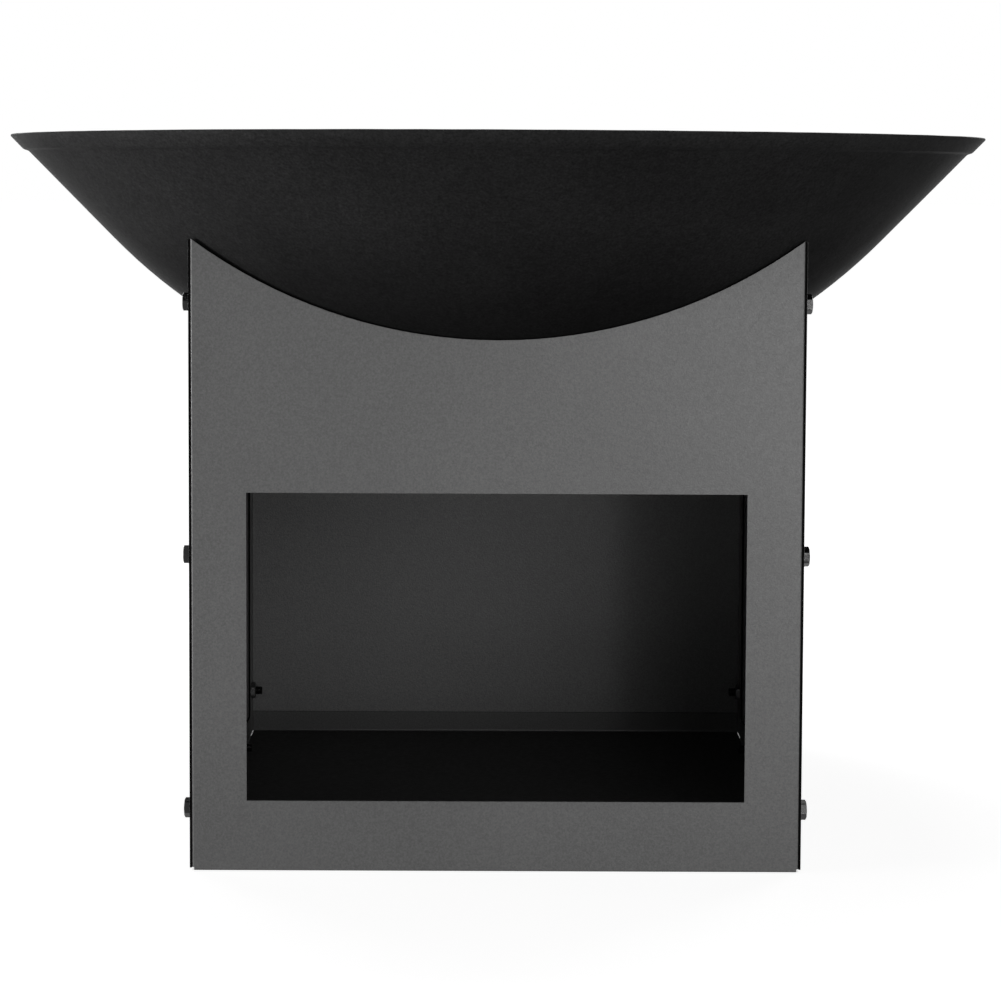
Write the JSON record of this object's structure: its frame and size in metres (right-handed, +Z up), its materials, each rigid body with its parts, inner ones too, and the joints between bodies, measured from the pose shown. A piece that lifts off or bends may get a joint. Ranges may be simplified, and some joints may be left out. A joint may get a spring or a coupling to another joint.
{
  "type": "outdoor fireplace",
  "caption": "Round cast-iron fire bowl resting in a square bolted sheet-steel stand whose open front stores logs.",
  "frame": {"origin": "on the ground, under the bowl's axis and the middle of the square stand", "axes": "+Z up, -Y out of the open front of the log store, +X to the right seen from the front"},
  "size_m": [0.5999, 0.6, 0.4179],
  "materials": {
    "cast_iron_black": "matt black heat-resistant paint on an as-cast surface",
    "grey_powder_coat": "fine-textured satin dark grey powder coat",
    "black_fasteners": "black oxide, slightly shiny"
  },
  "bodies": {
    "stand": {"front_panel": "grey_powder_coat", "back_panel": "grey_powder_coat", "left_side_panel": "grey_powder_coat", "right_side_panel": "grey_powder_coat", "floor_tray": "grey_powder_coat", "bolt_front_left_top": "black_fasteners", "nut_front_left_top": "black_fasteners", "bolt_front_left_middle": "black_fasteners", "nut_front_left_middle": "black_fasteners", "bolt_front_left_bottom": "black_fasteners", "nut_front_left_bottom": "black_fasteners", "tray_bolt_front_left": "black_fasteners", "tray_nut_front_left": "black_fasteners", "bolt_back_left_top": "black_fasteners", "nut_back_left_top": "black_fasteners", "bolt_back_left_middle": "black_fasteners", "nut_back_left_middle": "black_fasteners", "bolt_back_left_bottom": "black_fasteners", "nut_back_left_bottom": "black_fasteners", "tray_bolt_back_left": "black_fasteners", "tray_nut_back_left": "black_fasteners", "bolt_front_right_top": "black_fasteners", "nut_front_right_top": "black_fasteners", "bolt_front_right_middle": "black_fasteners", "nut_front_right_middle": "black_fasteners", "bolt_front_right_bottom": "black_fasteners", "nut_front_right_bottom": "black_fasteners", "tray_bolt_front_right": "black_fasteners", "tray_nut_front_right": "black_fasteners", "bolt_back_right_top": "black_fasteners", "nut_back_right_top": "black_fasteners", "bolt_back_right_middle": "black_fasteners", "nut_back_right_middle": "black_fasteners", "bolt_back_right_bottom": "black_fasteners", "nut_back_right_bottom": "black_fasteners", "tray_bolt_back_right": "black_fasteners", "tray_nut_back_right": "black_fasteners"},
    "bowl": {"fire_bowl": "cast_iron_black"}
  },
  "joints": [
    {"name": "bowl_lift", "type": "slide", "parent": "stand", "child": "bowl", "axis": [0, 0, 1], "range_m": [0, 0.16]}
  ]
}
